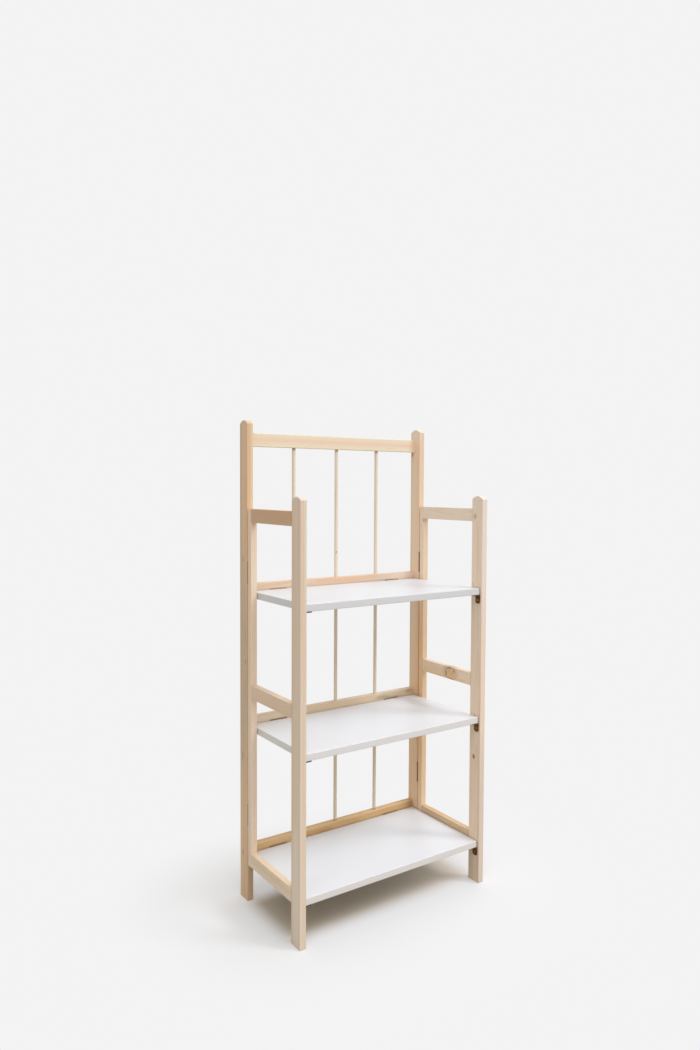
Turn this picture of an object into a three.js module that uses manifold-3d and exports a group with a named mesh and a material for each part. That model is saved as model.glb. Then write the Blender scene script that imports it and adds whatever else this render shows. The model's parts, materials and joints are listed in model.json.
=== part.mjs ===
// A folding bookcase: a tall back frame, two side frames hinged to its posts, and three shelves hinged to
// its rails. The shelves swing up into the depth of the back frame, and the side frames then close in front.
// Millimetres. X runs from left to right, Y from front to back and Z up.
// The origin lies on the floor, under the middle of the bookcase.
import * as THREE from "three";
import { mergeVertices } from "three/addons/utils/BufferGeometryUtils.js";
import Module from "manifold-3d";

const wasm = await Module();
wasm.setup();

// The whole bookcase, standing open
const overallWidth = 600;
const overallDepth = 318;
const backPostHeight = 1288;
const frontPostHeight = 1090;

// Timber
const postThickness = 18;
const postDepth = 42;
const postCrownRise = 9.4;
const railThickness = 18;
const railHeight = 36;
const stileThickness = 18;
const stileDepth = 18;
const timberEasing = 1.5;

// Back frame
const topRailDrop = 32;
const backRailInset = 2;
const railRiseOverShelf = 20;
const dowelDiameter = 10;
const dowelSocketDepth = 14;
const dowelCount = 3;

// Side frames, from the floor up
const lowSideRailTop = 137;
const midSideRailTop = 590;
const sideTopDrop = 35;

// Shelves
const shelfTops = { lower: 120, middle: 473, upper: 834 };
const shelfThickness = 18;
const shelfFrontSetback = 6;
const shelfEasing = 1.5;

// Glued pegs that join the timbers: each rail carries two at either end
const pegDiameter = 8;
const pegReach = 11;
const pegSpacing = 18;

// Butt hinges
const leafThickness = 0.8;
const sideLeafWidth = 18;
const shelfLeafWidth = 15;
const barrelRadius = 1.6;
const barrelProud = 0.6;
const pinRadius = 0.75;
const pinHeadRadius = 1.35;
const pinHeadThickness = 0.9;
const pinPlay = 0.25;
const knucklePlay = 0.3;
const hingeScrewShank = 3.2;
const hingeScrewHead = 5.6;
const hingeScrewInset = 8;
const sideHinge = { length: 60, leafWidth: sideLeafWidth, knuckles: 5, screws: 3 };
const shelfHinge = { length: 50, leafWidth: shelfLeafWidth, knuckles: 3, screws: 2 };
const upperSideHingeDrop = 139;
const lowerSideHingeRise = 105;
const shelfHingeFromEnd = 60;

// Angle brackets under the shelves' front corners
const bracketThickness = 2;
const bracketWidth = 17;
const bracketLegHeight = 25;
const bracketReach = 20;
const bracketBendRadius = 2.6;
const bracketCornerRadius = 6;
const bracketFrontSetback = 5.5;
const bracketScrewDrop = 15;
const bracketScrewShank = 4;
const bracketScrewHead = 7;

// Gaps, and how far a cutting shape runs past what it cuts
const fitGap = 0.3;
const shelfEndPlay = 0.5;
const overrun = 5;

// Sides of the round and arched shapes
const easingSteps = 2;
const crownSteps = 8;
const bendSteps = 3;
const pegSides = 8;
const dowelSides = 14;
const knuckleSides = 8;
const holeSides = 8;

const quarterTurn = Math.PI / 2;
const halfTurn = Math.PI;

// Places worked out from the sizes above
const innerFace = overallWidth / 2 - postThickness;
const rearFace = overallDepth / 2;
const frontFace = -overallDepth / 2;
const backPostFront = rearFace - postDepth;
const frontPostRear = frontFace + postDepth;
const backRailFront = rearFace - backRailInset - railThickness;
const backRailMiddle = backRailFront + railThickness / 2;
const hingeSeam = 2 * (barrelRadius + fitGap);
const sideAxisX = innerFace - barrelProud;
const sideAxisY = backPostFront - hingeSeam / 2;
const stileRear = backPostFront - hingeSeam;
const stileFront = stileRear - stileDepth;
const stileBottom = lowSideRailTop - railHeight;
const stileTop = frontPostHeight - sideTopDrop;
const shelfAxisY = backRailFront - hingeSeam / 2;
const shelfHalfLength = sideAxisX - barrelRadius - shelfEndPlay;
const shelfRear = backRailFront - hingeSeam;
const shelfFront = frontFace + shelfFrontSetback;
const sideRailTops = { low: lowSideRailTop, mid: midSideRailTop, top: stileTop };
const backRailTops = {
  lower: shelfTops.lower + railRiseOverShelf,
  middle: shelfTops.middle + railRiseOverShelf,
  upper: shelfTops.upper + railRiseOverShelf,
  top: backPostHeight - topRailDrop,
};
const sides = { left: -1, right: 1 };

// Finishes
const pine = new THREE.MeshStandardMaterial({ color: 0xe0c299, roughness: 0.55, metalness: 0 });
const whiteLacquer = new THREE.MeshStandardMaterial({ color: 0xecebe8, roughness: 0.4, metalness: 0 });
const hingeSteel = new THREE.MeshStandardMaterial({ color: 0x8c8074, roughness: 0.35, metalness: 1 });
const brownPaint = new THREE.MeshStandardMaterial({ color: 0x2c2219, roughness: 0.45, metalness: 0.6 });

// A closed solid from a three.js geometry, with its shared vertices merged
function solidOf(geometry) {
  const bare = new THREE.BufferGeometry();
  bare.setAttribute("position", geometry.getAttribute("position"));
  if (geometry.index) bare.setIndex(geometry.index);
  const merged = mergeVertices(bare);
  const mesh = new wasm.Mesh({
    numProp: 3,
    vertProperties: merged.attributes.position.array,
    triVerts: new Uint32Array(merged.index.array),
  });
  return new wasm.Manifold(mesh);
}

function geometryOf(solid) {
  const { vertProperties, triVerts } = solid.getMesh();
  const geometry = new THREE.BufferGeometry();
  geometry.setAttribute("position", new THREE.BufferAttribute(vertProperties, 3));
  geometry.setIndex(new THREE.BufferAttribute(triVerts, 1));
  geometry.computeVertexNormals();
  return geometry;
}

function piece(name, solid, material, x, y, z) {
  const mesh = new THREE.Mesh(geometryOf(solid), material);
  mesh.name = name;
  mesh.position.set(x, y, z);
  return mesh;
}

// Turns a shape that was extruded up Z so that it runs along the named axis instead
const lying = {
  x: new THREE.Matrix4().makeBasis(
    new THREE.Vector3(0, 1, 0),
    new THREE.Vector3(0, 0, 1),
    new THREE.Vector3(1, 0, 0),
  ),
  y: new THREE.Matrix4().makeBasis(
    new THREE.Vector3(0, 0, 1),
    new THREE.Vector3(1, 0, 0),
    new THREE.Vector3(0, 1, 0),
  ),
  z: new THREE.Matrix4(),
};

// A shape extruded by a length about its middle, lying along an axis
function extruded(shape, length, axis, curveSegments) {
  const geometry = new THREE.ExtrudeGeometry(shape, { depth: length, bevelEnabled: false, curveSegments });
  geometry.translate(0, 0, -length / 2);
  geometry.applyMatrix4(lying[axis]);
  return geometry;
}

function roundedRectangle(width, height, radius) {
  const x = width / 2 - radius;
  const y = height / 2 - radius;
  const shape = new THREE.Shape();
  shape.absarc(x, y, radius, 0, quarterTurn);
  shape.absarc(-x, y, radius, quarterTurn, halfTurn);
  shape.absarc(-x, -y, radius, halfTurn, halfTurn + quarterTurn);
  shape.absarc(x, -y, radius, halfTurn + quarterTurn, 2 * halfTurn);
  shape.closePath();
  return shape;
}

// A length of timber or board with its long edges eased, centred on its axis
function strip(x, y, z, axis, easing) {
  const length = { x, y, z }[axis];
  const across = { x: [y, z], y: [z, x], z: [x, y] }[axis];
  return solidOf(extruded(roundedRectangle(...across, easing), length, axis, easingSteps));
}

// A round rod about the origin, lying along an axis; three.js stands its cylinders along Y
function rod(radius, length, axis, radialSides, endRadius = radius) {
  const geometry = new THREE.CylinderGeometry(endRadius, radius, length, radialSides);
  if (axis === "x") geometry.rotateZ(-quarterTurn);
  if (axis === "z") geometry.rotateX(quarterTurn);
  return solidOf(geometry);
}

// A tapered screw hole through a plate about the origin: it narrows towards the timber, which is on the
// axis's positive or negative side
function countersink(shank, head, thickness, axis, timberSide) {
  const slope = (head - shank) / 2 / thickness;
  const wide = head / 2 + slope * fitGap;
  const narrow = shank / 2 - slope * fitGap;
  const [start, end] = timberSide > 0 ? [wide, narrow] : [narrow, wide];
  return rod(start, thickness + 2 * fitGap, axis, holeSides, end);
}

// Everything under an arched top, to trim a post with: the arch runs from front to back
function crownTrim(height) {
  const half = postDepth / 2;
  const radius = (half * half + postCrownRise * postCrownRise) / (2 * postCrownRise);
  const springing = height - postCrownRise;
  const start = Math.acos(half / radius);
  const shape = new THREE.Shape();
  shape.moveTo(-half - overrun, -overrun);
  shape.lineTo(half + overrun, -overrun);
  shape.lineTo(half + overrun, springing);
  shape.lineTo(half, springing);
  shape.absarc(0, height - radius, radius, start, halfTurn - start);
  shape.lineTo(-half - overrun, springing);
  shape.closePath();
  return solidOf(extruded(shape, postThickness + 2 * overrun, "x", crownSteps));
}

// A post stands on the origin, with an arched top
function post(height) {
  const blank = strip(postThickness, postDepth, height, "z", timberEasing).translate([0, 0, height / 2]);
  return blank.intersect(crownTrim(height));
}

// The heights of the two pegs in a rail, from the height of its top
function pegHeights(railTop) {
  const middle = railTop - railHeight / 2;
  return [middle - pegSpacing / 2, middle + pegSpacing / 2];
}

// A rail lies along its axis about the origin, and carries its glued pegs
function peggedRail(length, axis) {
  const sizes = { x: [length, railThickness, railHeight], y: [railThickness, length, railHeight] }[axis];
  let rail = strip(...sizes, axis, timberEasing);
  const pegLength = length + 2 * pegReach;
  for (const z of [-pegSpacing / 2, pegSpacing / 2]) {
    rail = rail.add(rod(pegDiameter / 2, pegLength, axis, pegSides).translate([0, 0, z]));
  }
  return rail;
}

// A peg hole runs both ways from a face, so that it cuts whichever side the timber is on
function pegHole(axis) {
  return rod(pegDiameter / 2 + fitGap, 2 * (pegReach + 2 * fitGap), axis, pegSides);
}

// Back frame

function backPost(side) {
  let timber = post(backPostHeight);
  const inward = (-side * postThickness) / 2;
  const middleOfPost = rearFace - postDepth / 2;
  for (const railTop of Object.values(backRailTops)) {
    for (const z of pegHeights(railTop)) {
      timber = timber.subtract(pegHole("x").translate([inward, backRailMiddle - middleOfPost, z]));
    }
  }
  return timber;
}

const dowelSpacing = (2 * innerFace) / (dowelCount + 1);
const dowelPlaces = Array.from({ length: dowelCount }, (_, i) => -innerFace + (i + 1) * dowelSpacing);

// The top and lower rails take the ends of the dowels in sockets, and the two between are drilled through
function backRail(level) {
  let rail = peggedRail(2 * (innerFace - fitGap), "x");
  const socket = dowelSocketDepth + fitGap;
  const through = railHeight + 2 * overrun;
  const drilled = { top: -railHeight / 2, lower: railHeight / 2 };
  for (const x of dowelPlaces) {
    const depth = level in drilled ? 2 * socket : through;
    const hole = rod(dowelDiameter / 2 + fitGap, depth, "z", dowelSides);
    rail = rail.subtract(hole.translate([x, 0, drilled[level] ?? 0]));
  }
  return rail;
}

function backFrame() {
  const frame = new THREE.Group();
  for (const [name, side] of Object.entries(sides)) {
    const x = side * (overallWidth - postThickness) / 2;
    frame.add(piece(`back_post_${name}`, backPost(side), pine, x, rearFace - postDepth / 2, 0));
  }
  for (const [level, top] of Object.entries(backRailTops)) {
    frame.add(piece(`back_rail_${level}`, backRail(level), pine, 0, backRailMiddle, top - railHeight / 2));
  }
  const dowelBottom = backRailTops.lower - dowelSocketDepth;
  const dowelTop = backRailTops.top - railHeight + dowelSocketDepth;
  dowelPlaces.forEach((x, i) => {
    const dowel = rod(dowelDiameter / 2, dowelTop - dowelBottom, "z", dowelSides);
    frame.add(piece(`dowel_${i + 1}`, dowel, pine, x, backRailMiddle, (dowelTop + dowelBottom) / 2));
  });
  return frame;
}

// Hinges: drawn shut, with the axis up Z through the origin and both leaves reaching out along +X.
// The fixed leaf is on the +Y side and the moving leaf on the -Y side.

function screwPlaces(length, count) {
  const span = length - 2 * hingeScrewInset;
  return Array.from({ length: count }, (_, i) => -span / 2 + (span * i) / (count - 1));
}

// Knuckles alternate along the barrel, and the fixed leaf has those at both ends
function hingeLeaf({ length, leafWidth, knuckles, screws }, moving) {
  const side = moving ? -1 : 1;
  const plateMiddle = side * (barrelRadius - leafThickness / 2);
  const plateStart = barrelRadius + knucklePlay;
  const plate = new THREE.BoxGeometry(leafWidth - plateStart, leafThickness, length);
  plate.translate((leafWidth + plateStart) / 2, plateMiddle, 0);
  let leaf = solidOf(plate);
  const pitch = length / knuckles;
  const knuckleLength = pitch - knucklePlay;
  for (let i = moving ? 1 : 0; i < knuckles; i += 2) {
    const z = -length / 2 + (i + 0.5) * pitch;
    const tab = new THREE.BoxGeometry(plateStart + leafThickness, leafThickness, knuckleLength);
    tab.translate((plateStart + leafThickness) / 2, plateMiddle, z);
    const ring = rod(barrelRadius, knuckleLength, "z", knuckleSides).translate([0, 0, z]);
    leaf = leaf.add(solidOf(tab)).add(ring);
  }
  leaf = leaf.subtract(rod(pinRadius + pinPlay, length + 2 * overrun, "z", knuckleSides));
  const screwX = (leafWidth + plateStart) / 2;
  const hole = countersink(hingeScrewShank, hingeScrewHead, leafThickness, "y", side);
  for (const z of screwPlaces(length, screws)) {
    leaf = leaf.subtract(hole.translate([screwX, plateMiddle, z]));
  }
  return leaf;
}

// The pin fills the barrel and is headed over at both ends
function hingePin({ length }) {
  const headFace = length / 2 + fitGap;
  const headEnd = headFace + pinHeadThickness;
  const half = [
    [pinRadius, headFace],
    [pinHeadRadius, headFace],
    [pinRadius, headEnd],
    [0, headEnd],
  ];
  const lower = half.map(([r, z]) => [r, -z]).reverse();
  const outline = [...lower, ...half].map(([r, z]) => new THREE.Vector2(r, z));
  const turned = new THREE.LatheGeometry(outline, knuckleSides);
  turned.rotateX(quarterTurn);
  return solidOf(turned);
}

// Side frames: each group's origin is on its hinge axis, at floor level

const sideHingeHeights = {
  upper: stileTop - upperSideHingeDrop - sideHinge.length / 2,
  lower: stileBottom + lowerSideHingeRise + sideHinge.length / 2,
};

function frontPost() {
  let timber = post(frontPostHeight);
  for (const railTop of Object.values(sideRailTops)) {
    for (const z of pegHeights(railTop)) {
      timber = timber.subtract(pegHole("y").translate([0, postDepth / 2, z]));
    }
  }
  return timber;
}

// The stile is shorter than the post and stands clear of the floor
function rearStile() {
  let timber = strip(stileThickness, stileDepth, stileTop - stileBottom, "z", timberEasing);
  const middle = (stileTop + stileBottom) / 2;
  for (const railTop of Object.values(sideRailTops)) {
    for (const z of pegHeights(railTop)) {
      timber = timber.subtract(pegHole("y").translate([0, -stileDepth / 2, z - middle]));
    }
  }
  return timber;
}

function sideFrame(name, side) {
  const frame = new THREE.Group();
  frame.position.set(side * sideAxisX, sideAxisY, 0);
  const outer = overallWidth / 2 - sideAxisX;
  const postX = side * (outer - postThickness / 2);
  const stileX = side * (outer - stileThickness / 2);
  const railX = side * (outer - railThickness / 2);
  const postY = frontFace + postDepth / 2 - sideAxisY;
  frame.add(piece(`front_post_${name}`, frontPost(), pine, postX, postY, 0));
  const stileY = stileFront + stileDepth / 2 - sideAxisY;
  frame.add(piece(`rear_stile_${name}`, rearStile(), pine, stileX, stileY, (stileTop + stileBottom) / 2));
  const railLength = stileFront - frontPostRear - 2 * fitGap;
  for (const [level, top] of Object.entries(sideRailTops)) {
    const rail = peggedRail(railLength, "y");
    const railY = (stileFront + frontPostRear) / 2 - sideAxisY;
    frame.add(piece(`side_rail_${name}_${level}`, rail, pine, railX, railY, top - railHeight / 2));
  }
  for (const [level, top] of Object.entries(shelfTops)) {
    frame.add(shelfBracket(name, side, level, top));
  }
  return frame;
}

// Angle brackets: drawn for the right side, with the bend at the origin and the seat reaching out along -X

function bracket() {
  const inner = bracketBendRadius - bracketThickness;
  const outline = new THREE.Shape();
  outline.moveTo(0, -bracketLegHeight);
  outline.absarc(-bracketBendRadius, -bracketBendRadius, bracketBendRadius, 0, quarterTurn);
  outline.lineTo(-bracketReach, 0);
  outline.lineTo(-bracketReach, -bracketThickness);
  outline.absarc(-bracketBendRadius, -bracketBendRadius, inner, quarterTurn, 0, true);
  outline.lineTo(-bracketThickness, -bracketLegHeight);
  outline.closePath();
  const options = { depth: bracketWidth, bevelEnabled: false, curveSegments: bendSteps };
  const profile = new THREE.ExtrudeGeometry(outline, options);
  profile.translate(0, 0, -bracketWidth / 2);
  profile.rotateX(quarterTurn);
  const reach = 2 * bracketReach;
  const seat = roundedRectangle(reach, bracketWidth, bracketCornerRadius);
  const seatTrim = solidOf(extruded(seat, 2 * (bracketLegHeight + overrun), "z", bendSteps));
  const leg = roundedRectangle(bracketWidth, 2 * bracketLegHeight, bracketCornerRadius);
  const legTrim = solidOf(extruded(leg, 2 * (reach + overrun), "x", bendSteps));
  const hole = countersink(bracketScrewShank, bracketScrewHead, bracketThickness, "x", 1);
  const trimmed = solidOf(profile).intersect(seatTrim).intersect(legTrim);
  return trimmed.subtract(hole.translate([-bracketThickness / 2, 0, -bracketScrewDrop]));
}

function shelfBracket(name, side, level, shelfTop) {
  const x = side * (innerFace - fitGap - sideAxisX);
  const y = frontFace + bracketFrontSetback + bracketWidth / 2 - sideAxisY;
  const z = shelfTop - shelfThickness - fitGap;
  const mesh = piece(`shelf_bracket_${name}_${level}`, bracket(), brownPaint, x, y, z);
  if (side < 0) mesh.rotation.z = halfTurn;
  return mesh;
}

// Shelves: each group's origin is on its hinge axis

function shelf(level) {
  const group = new THREE.Group();
  group.position.set(0, shelfAxisY, shelfTops[level] + barrelProud);
  const board = strip(2 * shelfHalfLength, shelfRear - shelfFront, shelfThickness, "x", shelfEasing);
  const y = (shelfRear + shelfFront) / 2 - shelfAxisY;
  group.add(piece(`shelf_${level}`, board, whiteLacquer, 0, y, -barrelProud - shelfThickness / 2));
  return group;
}

// One hinge makes three pieces: both leaves and the pin
function addHinge(group, name, sizes, x, y, z, turn) {
  const parts = [
    [`${name}_fixed_leaf`, hingeLeaf(sizes, false)],
    [`${name}_moving_leaf`, hingeLeaf(sizes, true)],
    [`${name}_pin`, hingePin(sizes)],
  ];
  for (const [partName, solid] of parts) {
    const mesh = piece(partName, solid, hingeSteel, x, y, z);
    mesh.rotation.y = turn;
    group.add(mesh);
  }
}

const bookcase = new THREE.Group();
bookcase.add(backFrame());
for (const [name, side] of Object.entries(sides)) {
  bookcase.add(sideFrame(name, side));
  for (const [level, z] of Object.entries(sideHingeHeights)) {
    const turn = side > 0 ? 0 : halfTurn;
    addHinge(bookcase, `side_hinge_${name}_${level}`, sideHinge, side * sideAxisX, sideAxisY, z, turn);
  }
}
for (const level of Object.keys(shelfTops)) {
  bookcase.add(shelf(level));
  for (const [name, side] of Object.entries(sides)) {
    const x = side * (shelfHalfLength - shelfHingeFromEnd - shelfHinge.length / 2);
    const z = shelfTops[level] + barrelProud;
    addHinge(bookcase, `shelf_hinge_${level}_${name}`, shelfHinge, x, shelfAxisY, z, quarterTurn);
  }
}

export default bookcase;
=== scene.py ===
# %% [markdown]
# # A folding bookcase in pine and white board
#
# The bookcase has a tall back frame, two side frames on butt hinges and three white shelves that swing up, so that it
# all closes flat. Its working solids come from CAD. They have the right size and they move, but they are faceted and
# bare. This lesson gives each of them the shape and the finish that a camera sees, and moves none of them.

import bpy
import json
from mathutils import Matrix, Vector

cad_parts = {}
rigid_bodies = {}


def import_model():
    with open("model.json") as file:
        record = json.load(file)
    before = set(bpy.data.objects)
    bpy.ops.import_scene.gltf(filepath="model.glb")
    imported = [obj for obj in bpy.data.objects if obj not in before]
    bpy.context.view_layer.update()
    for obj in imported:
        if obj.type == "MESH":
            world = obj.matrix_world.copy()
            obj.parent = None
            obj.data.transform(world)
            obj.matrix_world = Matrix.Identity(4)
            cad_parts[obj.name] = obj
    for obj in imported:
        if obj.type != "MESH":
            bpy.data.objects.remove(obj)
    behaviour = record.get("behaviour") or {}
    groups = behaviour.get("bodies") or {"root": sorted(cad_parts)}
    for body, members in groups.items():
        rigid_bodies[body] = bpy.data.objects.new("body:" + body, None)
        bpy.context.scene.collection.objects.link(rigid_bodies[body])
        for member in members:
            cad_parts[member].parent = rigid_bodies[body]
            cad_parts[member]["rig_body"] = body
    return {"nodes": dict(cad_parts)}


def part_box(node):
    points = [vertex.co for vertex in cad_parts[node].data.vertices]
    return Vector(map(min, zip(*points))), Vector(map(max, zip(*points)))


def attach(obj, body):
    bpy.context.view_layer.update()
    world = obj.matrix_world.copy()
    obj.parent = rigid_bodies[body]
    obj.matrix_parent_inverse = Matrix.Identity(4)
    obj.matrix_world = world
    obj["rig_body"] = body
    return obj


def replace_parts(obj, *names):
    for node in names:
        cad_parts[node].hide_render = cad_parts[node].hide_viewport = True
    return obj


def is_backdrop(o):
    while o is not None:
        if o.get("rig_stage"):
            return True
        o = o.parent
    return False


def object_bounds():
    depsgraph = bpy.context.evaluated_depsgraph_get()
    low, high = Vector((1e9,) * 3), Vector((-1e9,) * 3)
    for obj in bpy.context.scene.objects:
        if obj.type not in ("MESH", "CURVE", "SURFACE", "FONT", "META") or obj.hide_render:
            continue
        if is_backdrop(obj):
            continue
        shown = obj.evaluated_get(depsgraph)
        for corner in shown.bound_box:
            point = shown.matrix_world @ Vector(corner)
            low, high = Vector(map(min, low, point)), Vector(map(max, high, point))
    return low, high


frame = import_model()
cad_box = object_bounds()

# %% [markdown]
# ## Units
#
# Blender works in metres, and a cabinet maker in millimetres, so one value turns the one into the other. A solid's box
# tells where it is. What a box can't tell, such as the radius of an eased edge, is named once, above the pieces that
# have it.

# %% Units and directions
import json
import math
import random

import bmesh
import bpy
from mathutils import Matrix, Vector

mm = 0.001
axes = {"x": Vector((1, 0, 0)), "y": Vector((0, 1, 0)), "z": Vector((0, 0, 1))}
quarter_turn = math.pi / 2
full_turn = 2 * math.pi
print("width, depth and height in mm:", [round((high - low) / mm) for low, high in zip(*cad_box)])

# %% [markdown]
# ## Writing a finish as arithmetic
#
# A finish is a tree of nodes, and most of its nodes only add, multiply or compare numbers. Wired by hand they hide the
# idea. So one small class wraps the output of a node, and Python's own operators add the Math nodes: `0.6 - depth` is a
# Subtract node. Every other kind of node comes from one method, which first sets the node up and then feeds it.

# %% A value that can be reckoned with
class Value:
    """The output of a node. Arithmetic on it adds Math nodes to the same tree."""

    def __init__(self, nodes, socket):
        self.nodes = nodes
        self.socket = socket

    def output(self, key):
        """Another output of the same node."""
        return Value(self.nodes, self.socket.node.outputs[key])

    def math(self, operation, *operands):
        return self.nodes.node("ShaderNodeMath", {"operation": operation}, dict(enumerate(operands)))

    def __add__(self, other):
        return self.math("ADD", self, other)

    def __radd__(self, other):
        return self.math("ADD", other, self)

    def __sub__(self, other):
        return self.math("SUBTRACT", self, other)

    def __rsub__(self, other):
        return self.math("SUBTRACT", other, self)

    def __mul__(self, other):
        return self.math("MULTIPLY", self, other)

    def __rmul__(self, other):
        return self.math("MULTIPLY", other, self)

    def __truediv__(self, other):
        return self.math("DIVIDE", self, other)

    def __pow__(self, other):
        return self.math("POWER", self, other)

    def __abs__(self):
        return self.math("ABSOLUTE", self)

    def fraction(self):
        return self.math("FRACT", self)

    def at_least(self, other):
        return self.math("MAXIMUM", self, other)


# %% A tree of nodes
class Nodes:
    """The nodes of a material or of the world, while they are being made."""

    def __init__(self, owner):
        owner.use_nodes = True
        self.tree = owner.node_tree

    def feed(self, socket, value):
        """Links a value to a socket, or sets a number or a colour there."""
        if isinstance(value, Value):
            self.tree.links.new(value.socket, socket)
        else:
            socket.default_value = value

    def node(self, kind, settings=None, sockets=None):
        """Adds a node: its settings first, the stops of a ramp among them, and then its sockets' values or links."""
        made = self.tree.nodes.new(kind)
        for key, value in (settings or {}).items():
            if key == "stops":
                ramp = made.color_ramp.elements
                while len(ramp) < len(value):
                    ramp.new(1)
                for element, (position, shade) in zip(ramp, value):
                    element.position = position
                    element.color = (shade, shade, shade, 1)
            else:
                setattr(made, key, value)
        for key, value in (sockets or {}).items():
            self.feed(made.inputs[key], value)
        return Value(self, made.outputs[0])

    def looked_at(self):
        """1 for a ray that the camera sees, straight, in a reflection or through glass, and 0 for any other."""
        path = self.node("ShaderNodeLightPath")
        seen = path.output("Is Camera Ray").at_least(path.output("Is Glossy Ray"))
        return seen.at_least(path.output("Is Transmission Ray"))

    def show(self, output, share, shader, other):
        """Gives the output node a shader that turns into another as the share rises from 0 to 1."""
        first = Value(self, shader.outputs[0])
        mixed = self.node("ShaderNodeMixShader", None, {0: share, 1: first, 2: other})
        self.feed(self.tree.nodes[output].inputs["Surface"], mixed)


# %% A finish
def linear(red, green, blue):
    """A colour as a screen shows it, from 0 to 255, as the light that a shader works with."""
    def channel(level):
        share = level / 255
        return share / 12.92 if share <= 0.04045 else ((share + 0.055) / 1.055) ** 2.4

    return (channel(red), channel(green), channel(blue), 1.0)


class Finish(Nodes):
    """A material while it is being made."""

    def __init__(self, name):
        self.material = bpy.data.materials.new(name)
        super().__init__(self.material)
        self.shader = self.tree.nodes["Principled BSDF"]

    def place(self):
        """Where a point of the piece is in the bookcase at rest, in metres."""
        return self.node("ShaderNodeTexCoord").output("Object")

    def split(self, vector):
        parts = self.node("ShaderNodeSeparateXYZ", None, {"Vector": vector})
        return [parts.output(key) for key in "XYZ"]

    def join(self, x, y, z):
        return self.node("ShaderNodeCombineXYZ", None, {"X": x, "Y": y, "Z": z})

    def noise(self, vector, scale=1.0, detail=2.0):
        """A soft random value about a half. The scale is in bumps to a metre."""
        return self.node("ShaderNodeTexNoise", None, {"Vector": vector, "Scale": scale, "Detail": detail})

    def fade(self, value, start, end):
        """0 at the start and 1 at the end, and smooth between them. The start may lie above the end."""
        sockets = {"Value": value, "From Min": start, "From Max": end}
        return self.node("ShaderNodeMapRange", {"interpolation_type": "SMOOTHSTEP"}, sockets)

    def ramp(self, value, *stops):
        return self.node("ShaderNodeValToRGB", {"stops": stops}, {"Fac": value})

    def mix(self, share, first, second):
        """A colour between two others."""
        return self.node(
            "ShaderNodeMix", {"data_type": "RGBA"}, {"Factor": share, 6: first, 7: second}
        ).output(2)

    def relief(self, height, depth):
        """A surface that stands up where the height is 1, by a depth in metres."""
        sockets = {"Height": height, "Distance": depth, "Strength": 1.0}
        return self.node("ShaderNodeBump", None, sockets)

    def surface(self, **sockets):
        """Feeds the shader, by the names of its sockets with _ for a space, and returns the material."""
        for key, value in sockets.items():
            self.feed(self.shader.inputs[key.replace("_", " ")], value)
        return self.material


# %% [markdown]
# ## Pine
#
# Clear pine is pale straw to pink. Each year the tree adds a ring of soft, pale wood that darkens slowly and then ends
# in a thin hard line. A board is a slice through that stack of cones, so the same rings show as straight lines on one
# face, as arches on the next and as arcs on the ends. A flat picture can't do that, but a solid pattern can: the finish
# works out how far a point lies from the heart of the tree, and every face, easing and end then agrees with the rest.
#
# Each length of timber has a heart of its own, so that no two look alike. A branch leaves a knot, which is a small
# stack of rings that runs across the board, and the rings of the trunk bend round it. A stain is where the wood is
# rosier, paler or darker for a while, such as a resin streak or a pin knot. Some stains are painted light and shade
# instead: a face painted paler where more light falls on it, or wood painted darker where a rail shades it.

# %% The colours of pine
brightest_wood = 0.93


def shades(red, green, blue):
    """What a board of one overall colour is made of. No wood is brighter than paper, whatever its hue."""
    overall = linear(red, green, blue)[:3]

    def tinted(*factors):
        levels = [level * factor for level, factor in zip(overall, factors)]
        share = min(1.0, brightest_wood / max(levels))
        return (*(level * share for level in levels), 1.0)

    return {
        "soft": tinted(1.14, 1.19, 1.25),
        "hard": tinted(0.98, 0.88, 0.74),
        "heart": tinted(1.08, 1.04, 0.97),
        "straw": tinted(1.15, 1.24, 1.13),
        "pale": tinted(1.24, 1.34, 1.48),
        "rosy": tinted(1.10, 0.98, 0.88),
        "rusty": tinted(0.95, 0.78, 0.58),
        "grey": tinted(0.84, 0.88, 0.92),
        "sawn": tinted(1.02, 1.16, 1.38),
        "dark": tinted(0.40, 0.36, 0.28),
    }


fibre_shade = linear(186, 142, 96)
knot_woods = {
    # the wood of the knot, its rings and its rim
    "brown": (linear(178, 138, 100), linear(146, 106, 74), linear(106, 74, 50)),
    "pale": (linear(242, 216, 178), linear(218, 186, 144), linear(120, 83, 42)),
}

# %% Knots and stains
knot_stretch = 1.25


def knot_distance(finish, place, along, rough, centre, through, size):
    """How far a point is from a knot, in radii of the knot, which is longer along the grain."""
    offsets = {key: place[key] - centre["xyz".index(key)] for key in "xyz" if key != through}
    lengthwise = offsets.pop(along) / knot_stretch
    (sideways,) = offsets.values()
    return (lengthwise * lengthwise + sideways * sideways) ** 0.5 * (0.6 + 0.8 * rough) / size


def with_knot(finish, colour, distance, rough, wood):
    """A colour with a knot over it: a darker surround, the knot's own rings and a broken rim."""
    inside, rings, rim = knot_woods[wood]
    colour = finish.mix(0.45 * finish.fade(distance, 2.2, 0.95), colour, fibre_shade)
    turns = (distance * 3.6 + 0.8 * rough).fraction()
    knot = finish.mix(finish.fade(turns, 0.2, 0.9), inside, rings)
    knot = finish.mix(finish.fade(distance, 0.3, 0.1), knot, rings)
    colour = finish.mix(finish.fade(distance, 1.06, 0.94), colour, knot)
    broken = 0.15 + 0.85 * finish.fade(rough, 0.38, 0.6)
    return finish.mix(broken * finish.fade(abs(distance - 0.97), 0.13, 0.02), colour, rim)


def stain_and_painted_light_share(finish, place, along, rough, centre, thickness, reach):
    """1 in the middle of a stain and 0 outside it, with an uneven edge."""
    share = 0
    for key in "xyz":
        part = (place[key] - centre["xyz".index(key)]) / (reach if key == along else thickness)
        share = share + part * part
    return finish.fade(share**0.5 * (0.8 + 0.4 * rough), 1.2, 0.5)


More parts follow.
